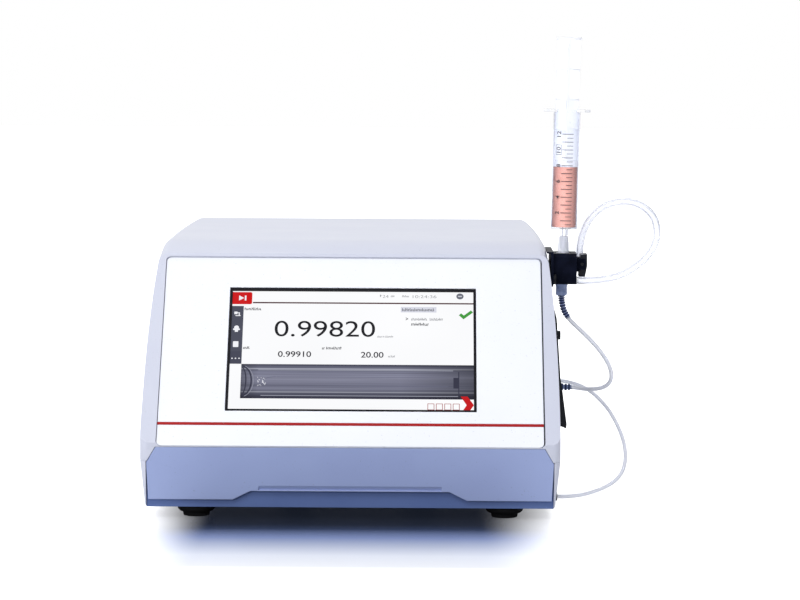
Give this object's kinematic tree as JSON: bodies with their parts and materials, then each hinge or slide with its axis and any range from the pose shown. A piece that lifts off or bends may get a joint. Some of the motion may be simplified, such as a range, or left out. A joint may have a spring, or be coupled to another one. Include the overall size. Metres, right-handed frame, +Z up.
{
  "type": "benchtop density meter",
  "caption": "Benchtop instrument with a sloped touch display, a side filling adapter with latch lever and syringe, a looped outlet hose and sensor leads.",
  "frame": {"origin": "middle of the bounding box without the leads and hose, on the bench surface", "axes": "+Z up, +Y to the back of the instrument, +X to its right, where the filling adapter is"},
  "size_m": [0.3253, 0.3918, 0.2941],
  "materials": {
    "shell_white": "satin",
    "panel_white": "satin",
    "chin_blue": "satin",
    "stripe_red": "gloss",
    "carrier_grey": "matt",
    "rear_sheet": "satin",
    "foot_rubber": "matt",
    "screw_steel": "satin",
    "bezel_black": "gloss",
    "display_glass": "gloss",
    "display_metal": "satin",
    "board_green": "satin",
    "adapter_black": "satin",
    "lever_dark": "satin",
    "luer_clear": "gloss",
    "nipple_steel": "satin",
    "hose_clear": "gloss",
    "barrel_clear": "gloss",
    "plunger_white": "satin",
    "sample_salmon": "gloss",
    "plug_blue": "gloss",
    "relief_navy": "matt",
    "lead_white": "satin",
    "fitting_dark": "satin",
    "deflector_black": "satin",
    "tube_glass": "gloss",
    "copper": "satin",
    "peltier_white": "matt",
    "sink_aluminium": "satin",
    "sensor_dark": "satin",
    "light_white": "satin",
    "standoff_brass": "satin",
    "port_metal": "satin",
    "motor_grey": "satin"
  },
  "bodies": {
    "housing": {"base_tray": "shell_white", "hood": "shell_white", "front_skirt": "chin_blue", "faceplate": "panel_white", "accent_stripe": "stripe_red", "front_frame": "carrier_grey", "rear_panel": "rear_sheet", "feet": "foot_rubber", "foot_screws": "screw_steel", "housing_screws": "screw_steel", "display_bezel": "bezel_black", "touch_glass": "display_glass", "display_module": "display_metal", "display_board": "board_green", "adapter_plate": "adapter_black", "adapter_block": "adapter_black", "adapter_screws": "screw_steel", "latch_pin": "screw_steel", "luer_inlet": "luer_clear", "outlet_nipple": "nipple_steel", "return_nipple": "nipple_steel", "outlet_hose": "hose_clear", "sensor_plug": "plug_blue", "plug_relief": "relief_navy", "sensor_lead": "lead_white", "socket_relief": "relief_navy", "sensor_socket": "fitting_dark", "aux_gland": "fitting_dark", "aux_lead": "lead_white", "base_grommet": "fitting_dark", "spill_deflector": "deflector_black", "deflector_screws": "screw_steel", "u_tube": "tube_glass", "cell_jacket": "tube_glass", "thermostat_block": "copper", "peltier_modules": "peltier_white", "heatsink": "sink_aluminium", "cell_bracket": "sink_aluminium", "oscillation_unit": "sensor_dark", "cell_camera": "sensor_dark", "cell_backlight": "light_white", "mainboard": "board_green", "board_standoffs": "standoff_brass", "power_supply": "sink_aluminium", "fan_housing": "fitting_dark", "fan_screws": "screw_steel", "mains_inlet": "fitting_dark", "switch_housing": "fitting_dark", "data_ports": "port_metal", "air_pump": "motor_grey", "air_tube": "hose_clear"},
    "latch": {"latch_lever": "lever_dark"},
    "syringe": {"syringe_barrel": "barrel_clear", "sample_liquid": "sample_salmon"},
    "plunger": {"syringe_plunger": "plunger_white"},
    "rocker": {"rocker_switch": "bezel_black"},
    "drawer": {"fuse_drawer": "fitting_dark", "fuses": "tube_glass"},
    "fan": {"fan_rotor": "fitting_dark"},
    "pump": {"pump_rotor": "nipple_steel"}
  },
  "joints": [
    {"name": "latch_hinge", "type": "hinge", "parent": "housing", "child": "latch", "pos_m": [0.1357, -0.0749, 0.149], "axis": [0, 1, 0], "range_deg": [0, 7], "stiffness_Nm_per_rad": 0.05, "springref_deg": -5.73},
    {"name": "syringe_pull", "type": "slide", "parent": "housing", "child": "syringe", "axis": [0.0192, 0, 0.9998], "range_m": [0, 0.03]},
    {"name": "plunger_slide", "type": "slide", "parent": "syringe", "child": "plunger", "axis": [0.0192, 0, 0.9998], "range_m": [-0.038, 0.02], "deforming": ["sample_liquid"]},
    {"name": "power_rocker", "type": "hinge", "parent": "housing", "child": "rocker", "pos_m": [-0.0903, 0.1894, 0.12], "axis": [1, 0, 0], "range_deg": [0, 16]},
    {"name": "drawer_slide", "type": "slide", "parent": "housing", "child": "drawer", "axis": [0, 1, 0], "range_m": [0, 0.012]},
    {"name": "fan_spin", "type": "hinge", "parent": "housing", "child": "fan", "pos_m": [0.04471, 0.1769, 0.102], "axis": [0, 1, 0], "continuous": true},
    {"name": "pump_spin", "type": "hinge", "parent": "housing", "child": "pump", "pos_m": [0.05171, 0.0661, 0.0245], "axis": [0, 1, 0], "continuous": true}
  ]
}
